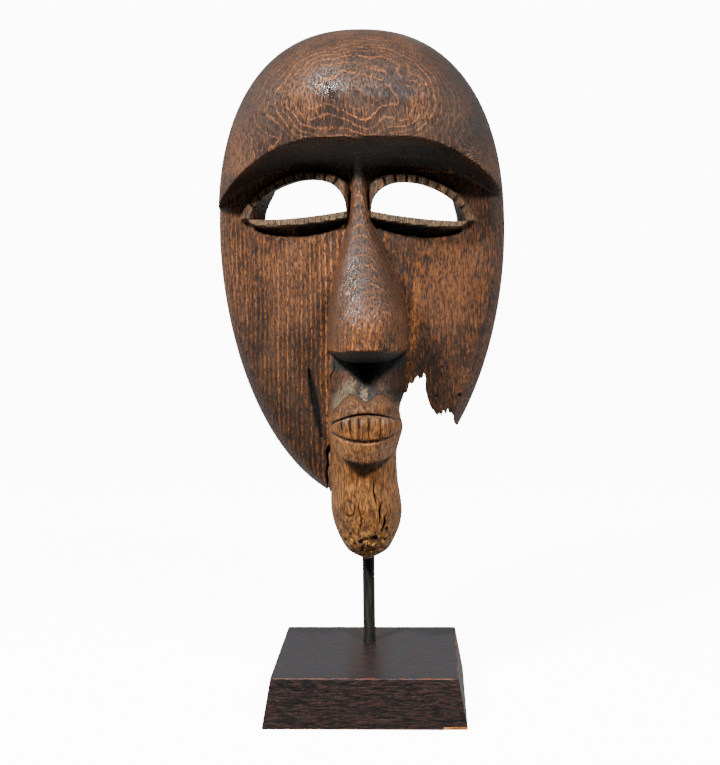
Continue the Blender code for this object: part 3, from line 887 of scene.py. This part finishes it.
fibre, given, result = new_tree(
    "wood_fibre", "ShaderNodeTree",
    {"Place": ("Vector", None)},
    {"Pores": ("Float", None), "Fibre": ("Float", None),
     "Blotch": ("Float", None)})
vessels = cloud(fibre, given["Place"], (1.1, 1.1, 0.28), 2.0, 0.6)
fibre.links.new(between(fibre, vessels, 0.52, 0.62), result.inputs["Pores"])
fibre.links.new(cloud(fibre, given["Place"], (0.8, 0.8, 0.12), 3.0, 0.65), result.inputs["Fibre"])
fibre.links.new(cloud(fibre, given["Place"], (0.045, 0.045, 0.03), 4.0, 0.6), result.inputs["Blotch"])


def use(tree, group, inputs):
    made = tree.nodes.new("ShaderNodeGroup")
    made.node_tree = group
    for name, value in inputs.items():
        tree.links.new(value, made.inputs[name])
    return made.outputs


def finish_of(material):
    """A material's tree and its shader, with the nodes that Blender starts it with."""
    material.use_nodes = True
    return material.node_tree, material.node_tree.nodes["Principled BSDF"].inputs


def dress(tree, shader, colour, rough, height, depth):
    """Feeds a shader its colour, its roughness and a relief of a depth in metres."""
    bump = node(tree, "ShaderNodeBump", {"Height": height, "Distance": depth, "Strength": 1.0})
    for value, name in ((colour, "Base Color"), (rough, "Roughness"), (bump, "Normal")):
        tree.links.new(value, shader[name])


def layer_value(tree, name):
    return node(tree, "ShaderNodeAttribute", out="Fac", attribute_name=name)


def ring_lines(tree, place):
    return use(tree, rings, {"Place": place, "Depth": layer_value(tree, "ring_depth"),
                             "Width": layer_value(tree, "ring_width")})["Line"]


# Colours of the carving. Where there are two, the finish lies between them
PATINA = (0.022, 0.013, 0.010), (0.070, 0.034, 0.018)
RUBBED_WOOD, RING_WOOD = (0.25, 0.088, 0.026), (0.66, 0.205, 0.034)
OCHRE = (0.42, 0.165, 0.038), (0.58, 0.27, 0.055)
FURROW, STREAK = (0.10, 0.038, 0.011), (0.10, 0.046, 0.018)
# Pale dusted wood and painted light, pores, and painted shade with darker wood
DUST_AND_LIGHT, PORE, SHADOW = (0.26, 0.195, 0.115), (0.014, 0.008, 0.006), (0.004, 0.003, 0.002)
# Painted shade with grime
SHADE_AND_DIRT_TONES = (0.014, 0.015, 0.014), (0.045, 0.045, 0.040)
# A painted grey sheen under the brow, and the rings through the shade
BROW_SHEEN, SHADED_RING = (0.080, 0.080, 0.076), (0.14, 0.11, 0.09)
CUT_WOOD = (0.010, 0.006, 0.004), (0.06, 0.027, 0.012)
RAW_WOOD, RAW_PORE = ((0.05, 0.02, 0.009), (0.30, 0.135, 0.045)), (0.02, 0.011, 0.007)
INNER_WOOD = (0.045, 0.022, 0.013), (0.12, 0.058, 0.028)
INNER_RING, INNER_PORE = (0.24, 0.115, 0.05), (0.016, 0.009, 0.007)

tree, shader = finish_of(carved_wood)
place = millimetres(tree)
ring = ring_lines(tree, place)
wood = use(tree, fibre, {"Place": place})
shade_and_dirt, golden, worn = (layer_value(tree, name) for name in ("shade_and_dirt", "golden", "worn"))
colour = tint(tree, between(tree, wood["Blotch"], 0.35, 0.65), *PATINA)
rubbed = raised(tree, worn, 0.16, wood["Fibre"])
colour = tint(tree, times(tree, between(tree, rubbed, 0.5, 0.72), 0.7), colour, RUBBED_WOOD)
ring_line = times(tree, ring, layer_value(tree, "ring_show"))
colour = tint(tree, times(tree, ring_line, 0.95), colour, RING_WOOD)
height_up = parts(tree, place)["Z"]
ochre = tint(tree, between(tree, height_up, 134.0, 116.0), *OCHRE)
warm = tint(tree, between(tree, wood["Fibre"], 0.36, 0.6), FURROW, ochre)
streak = cloud(tree, place, (0.42, 0.42, 0.035), 3.0, 0.6)
warm = tint(tree, between(tree, streak, 0.48, 0.62, 0.0, 0.55), warm, STREAK)
colour = tint(tree, times(tree, golden, 0.88), colour, warm)
# Pale dusted wood and painted light, broken by the fibre
dust_and_light_share = times(tree, layer_value(tree, "dust_and_light"), between(tree, wood["Fibre"], 0.35, 0.6, 0.4, 0.9))
colour = tint(tree, dust_and_light_share, colour, DUST_AND_LIGHT)
colour = tint(tree, times(tree, wood["Pores"], raised(tree, golden, -0.3, 0.82)), colour, PORE)
# Painted shade and grime over the wood, broken up by its pores
speckle = raised(tree, calc(tree, "SUBTRACT", wood["Pores"], 0.5), 0.25, shade_and_dirt)
shade_and_dirt_colour = tint(tree, between(tree, wood["Fibre"], 0.4, 0.7), *SHADE_AND_DIRT_TONES)
# A painted grey sheen under the brow, growing towards its edge
shade_and_dirt_colour = tint(tree, between(tree, height_up, 372.0, 390.0, 0.0, 0.75), shade_and_dirt_colour, BROW_SHEEN)
shade_and_dirt_colour = tint(tree, times(tree, ring_line, 0.3), shade_and_dirt_colour, SHADED_RING)
colour = tint(tree, between(tree, speckle, 0.15, 0.85), colour, shade_and_dirt_colour)
# Painted shade, and darker wood, laid over all
colour = tint(tree, layer_value(tree, "shade"), colour, SHADOW)
polish = layer_value(tree, "polish")
rough = calc(tree, "ADD", between(tree, wood["Blotch"], 0.3, 0.7, 0.37, 0.5),
             times(tree, wood["Pores"], 0.3))
rough = calc(tree, "MAXIMUM", raised(tree, polish, -0.27, rough), 0.13)
tree.links.new(raised(tree, polish, 0.5, 0.32), shader["Specular IOR Level"])
grain = cloud(tree, place, (2.2, 2.2, 0.3), 2.0, 0.6)
height = calc(tree, "SUBTRACT", times(tree, ring_line, 0.4), times(tree, wood["Pores"], 0.7))
height = raised(tree, wood["Fibre"], raised(tree, polish, -0.8, 1.6), height)
height = raised(tree, grain, raised(tree, polish, 0.25, 0.3), height)
furrows = times(tree, golden, between(tree, streak, 0.46, 0.62))
height = calc(tree, "SUBTRACT", height, furrows)
dress(tree, shader, colour, rough, height, 0.0008)

tree, shader = finish_of(knife_cut)
wood = use(tree, fibre, {"Place": millimetres(tree)})
dress(tree, shader, tint(tree, wood["Fibre"], *CUT_WOOD),
      between(tree, wood["Fibre"], 0.3, 0.7, 0.6, 0.85), wood["Fibre"], 0.0003)

tree, shader = finish_of(raw_wood)
wood = use(tree, fibre, {"Place": millimetres(tree)})
colour = tint(tree, between(tree, wood["Fibre"], 0.35, 0.65), *RAW_WOOD)
colour = tint(tree, wood["Pores"], colour, RAW_PORE)
dress(tree, shader, colour, between(tree, wood["Blotch"], 0.3, 0.7, 0.65, 0.9),
      wood["Fibre"], 0.001)

tree, shader = finish_of(hollow_wood)
place = millimetres(tree)
ring = ring_lines(tree, place)
wood = use(tree, fibre, {"Place": place})
colour = tint(tree, between(tree, wood["Blotch"], 0.3, 0.7), *INNER_WOOD)
colour = tint(tree, times(tree, ring, 0.5), colour, INNER_RING)
colour = tint(tree, times(tree, wood["Pores"], 0.7), colour, INNER_PORE)
strokes = scaled(tree, place, (0.11, 0.11, 0.035))
stroke = node(tree, "ShaderNodeTexVoronoi", {"Vector": strokes, "Scale": 1.0}, out="Distance")
height = calc(tree, "ADD", times(tree, stroke, 1.6), times(tree, wood["Fibre"], 0.3))
dress(tree, shader, colour, between(tree, wood["Blotch"], 0.3, 0.7, 0.55, 0.8), height, 0.001)

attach(mask, "root")
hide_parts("mask")


# Rod
# A round steel rod, blackened and satin, that stands in a blind bore of the base and
# of the chin. The CAD rod is true to it and only gets its finish.

BLACKING = (0.007, 0.007, 0.005), (0.022, 0.021, 0.015)
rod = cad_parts["stand_rod"]
blackened_steel = bpy.data.materials.new("blackened_steel")
tree, shader = finish_of(blackened_steel)
place = millimetres(tree)
smear = cloud(tree, place, (0.5, 0.5, 0.06), 3.0)
shader["Metallic"].default_value = 0.0
dress(tree, shader, tint(tree, between(tree, smear, 0.35, 0.7), *BLACKING),
      between(tree, smear, 0.3, 0.7, 0.34, 0.5),
      cloud(tree, place, (3.0, 3.0, 0.4), 2.0), 0.00004)
rod.data.materials.clear()
rod.data.materials.append(blackened_steel)
rod.data.shade_smooth()
rod.data.set_sharp_from_angle(angle=math.radians(35))


# Base
# A solid hardwood block, a low pyramid with its top cut off, stained nearly black and
# waxed. Its arrises are rubbed down to red-brown wood and one lower corner is chipped.

BASE_FOOT, BASE_TOP, BASE_HEIGHT, BASE_EDGE = 140.0, 128.0, 34.0, 0.5
CORNER_CHIP = [(53, -1), (54, 0.9), (59, 1.4), (64, 2.0), (67, 1.6), (71, 2.8), (71, -1)]
CHIP_BACK_Y = -69.2


def block(name, steps=56):
    """The pyramid block as a grid on each face, with rubbed, uneven arrises."""
    bm = bmesh.new()
    bmesh.ops.create_cube(bm, size=2.0)
    bmesh.ops.subdivide_edges(bm, edges=bm.edges, cuts=steps, use_grid_fill=True)
    size = np.array([BASE_FOOT, BASE_FOOT, BASE_HEIGHT]) / 2
    for v in bm.verts:
        a, b, c = v.co
        rub = 0.35 + 0.65 * max(0.0, noise.noise(Vector((a * 9, b * 9, c * 3)))) * 2
        q = size * (a, b, c)
        r = BASE_EDGE * (0.8 + rub)
        core = np.clip(q, r - size, size - r)
        away = q - core
        if np.count_nonzero(np.abs(away) > 1e-6) > 1:
            q = core + away / np.linalg.norm(away) * r
        z = q[2] + BASE_HEIGHT / 2
        shrink = 1 - (1 - BASE_TOP / BASE_FOOT) * z / BASE_HEIGHT
        v.co = Vector((q[0] * shrink, q[1] * shrink, z)) * MM
    bmesh.ops.recalc_face_normals(bm, faces=bm.faces)
    return solid_of(name, bm)


stained_wood = bpy.data.materials.new("stained_wood")
base_blank = block("base_blank")
base_blank.data.materials.append(stained_wood)
for tool in (drill("rod_bore", ROD_FOOT_Z - CLEARANCE, BASE_HEIGHT + 10),
             prism("corner_chip", torn(CORNER_CHIP, 0.1, 5), -73, CHIP_BACK_Y)):
    cut(base_blank, tool, stained_wood, solver="EXACT")
base = carved("stained_base", base_blank, sharp=50)

# The stain, a painted sheen on the waxed top, and the rubbed arrises and chipped corner
STAIN, FLECK = ((0.004, 0.004, 0.004), (0.020, 0.008, 0.006)), (0.075, 0.018, 0.007)
TOP_SHEEN, BARE_ARRIS, FRESH_CHIP = (0.016, 0.019, 0.025), (0.19, 0.042, 0.009), (0.45, 0.16, 0.035)
NEAR_TOP = BASE_HEIGHT - 1.0, BASE_HEIGHT - 0.2
tree, shader = finish_of(stained_wood)
place = millimetres(tree)
apart = parts(tree, place)
from_middle = calc(tree, "ABSOLUTE", apart["X"])
streak = cloud(tree, place, (0.11, 0.5, 0.8), 4.0, 0.65)
fleck = cloud(tree, place, (0.35, 1.6, 1.8), 3.0, 0.6)
colour = tint(tree, between(tree, streak, 0.42, 0.7), *STAIN)
flecks = times(tree, between(tree, fleck, 0.48, 0.64), between(tree, streak, 0.4, 0.6, 0.1, 0.6))
colour = tint(tree, flecks, colour, FLECK)
# Painted sheen on the top, off its middle and broken by the streaks
top_sheen = times(tree, between(tree, from_middle, 5.0, 20.0),
              between(tree, apart["Z"], *NEAR_TOP, 0.0, 0.8))
top_sheen = times(tree, top_sheen, between(tree, streak, 0.3, 0.62, 1.0, 0.45))
colour = tint(tree, top_sheen, colour, TOP_SHEEN)
front = calc(tree, "MAXIMUM", from_middle, calc(tree, "ABSOLUTE", apart["Y"]))
side = raised(tree, apart["Z"], (BASE_FOOT - BASE_TOP) / 2 / BASE_HEIGHT, front)
at_side = between(tree, side, BASE_FOOT / 2 - 1.0, BASE_FOOT / 2 - 0.3)
at_end = calc(tree, "MAXIMUM", between(tree, apart["Z"], *NEAR_TOP),
              between(tree, apart["Z"], 1.4, 0.4))
patchy = between(tree, cloud(tree, place, (0.08, 0.08, 0.3), 3.0), 0.42, 0.6)
worn = times(tree, times(tree, at_side, at_end), patchy)
chipped = times(tree, between(tree, apart["X"], 53.0, 54.0), between(tree, apart["Z"], 2.4, 2.0))
chipped = times(tree, chipped, between(tree, apart["Y"], CHIP_BACK_Y + 0.2, CHIP_BACK_Y + 0.05))
colour = tint(tree, times(tree, worn, 0.85), colour, BARE_ARRIS)
colour = tint(tree, chipped, colour, FRESH_CHIP)
rough = raised(tree, worn, 0.35, between(tree, streak, 0.3, 0.7, 0.32, 0.46))
dress(tree, shader, colour, rough, raised(tree, fleck, 0.4, streak), 0.0003)
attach(base, "root")
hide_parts("stand_base")


# Studio
# A white floor under a white sky, a soft light high on the left in front, a weaker and
# wider one on the right, and the camera where the photograph was taken from.

floor_mesh = bpy.data.meshes.new("floor")
floor_mesh.from_pydata([(-30, -30, 0), (30, -30, 0), (30, 30, 0), (-30, 30, 0)], [], [(0, 1, 2, 3)])
floor = placed("floor", floor_mesh)
paper = bpy.data.materials.new("white_paper")
tree, shader = finish_of(paper)
shader["Base Color"].default_value = (0.93, 0.93, 0.93, 1.0)
shader["Roughness"].default_value = 0.9
shader["Emission Color"].default_value = (1.0, 1.0, 1.0, 1.0)
seen = node(tree, "ShaderNodeLightPath", out="Is Camera Ray")
tree.links.new(between(tree, seen, 0.0, 1.0, 0.25, 11.0), shader["Emission Strength"])
floor.data.materials.append(paper)
floor.visible_diffuse = floor.visible_glossy = False
floor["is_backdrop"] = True

world = bpy.data.worlds.new("studio")
bpy.context.scene.world = world
world.use_nodes = True
tree = world.node_tree
sky = tree.nodes["Background"]
towards = parts(tree, node(tree, "ShaderNodeTexCoord", out="Generated"))
behind = between(tree, towards["Y"], 0.15, 0.6, 0.012, 0.4)
aside = between(tree, calc(tree, "ABSOLUTE", towards["X"]), 0.45, 0.85, 0.0, 2.0)
bounce = between(tree, towards["Z"], -0.15, -0.8, 0.0, 0.75)
glow = calc(tree, "ADD", raised(tree, aside, behind, behind), bounce)
seen = node(tree, "ShaderNodeLightPath", out="Is Camera Ray")
glow = calc(tree, "MAXIMUM", glow, times(tree, seen, 12.0))
tree.links.new(glow, sky.inputs["Strength"])
sky.inputs["Color"].default_value = (1.0, 1.0, 1.0, 1.0)


def softbox(name, place, target, size, power):
    data = bpy.data.lights.new(name, "AREA")
    data.shape = "DISK"
    data.size = size
    data.energy = power
    lamp = placed(name, data)
    lamp.location = place
    lamp.rotation_euler = (Vector(target) - Vector(place)).to_track_quat("-Z", "Y").to_euler()


LOOK_AT = (0.0, 0.0, 0.34)
softbox("key_light", (-0.76, -1.0, 1.38), LOOK_AT, 0.22, 70.0)
softbox("fill_light", (0.66, -1.02, 1.36), LOOK_AT, 0.28, 44.0)

# The camera stands 981 mm off and looks a little down, rolled by under a degree
CAMERA_PIXELS, CAMERA_AWAY, CAMERA_HEIGHT = 1392.0, 981.0, 328.0
PHOTO_PIXELS, SENSOR = 765, 36.0
AROUND, DOWN, ROLL, PAN = (math.radians(a) for a in (2.65, 5.77, -0.758, 0.19))
turn = AROUND + PAN
ahead = Vector((-math.sin(turn) * math.cos(DOWN), math.cos(turn) * math.cos(DOWN),
                -math.sin(DOWN)))
level = Vector((math.cos(turn), math.sin(turn), 0.0))
above = level.cross(ahead)
across = level * math.cos(ROLL) + above * math.sin(ROLL)
upward = above * math.cos(ROLL) - level * math.sin(ROLL)
camera = placed("camera", bpy.data.cameras.new("camera"))
camera.data.sensor_width = SENSOR
camera.data.lens = SENSOR * CAMERA_PIXELS / PHOTO_PIXELS
camera.data.clip_start = 0.05
camera.matrix_world = Matrix((
    (across.x, upward.x, -ahead.x, math.sin(AROUND) * CAMERA_AWAY * MM),
    (across.y, upward.y, -ahead.y, -math.cos(AROUND) * CAMERA_AWAY * MM),
    (across.z, upward.z, -ahead.z, CAMERA_HEIGHT * MM),
    (0, 0, 0, 1)))
bpy.context.scene.camera = camera

low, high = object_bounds()
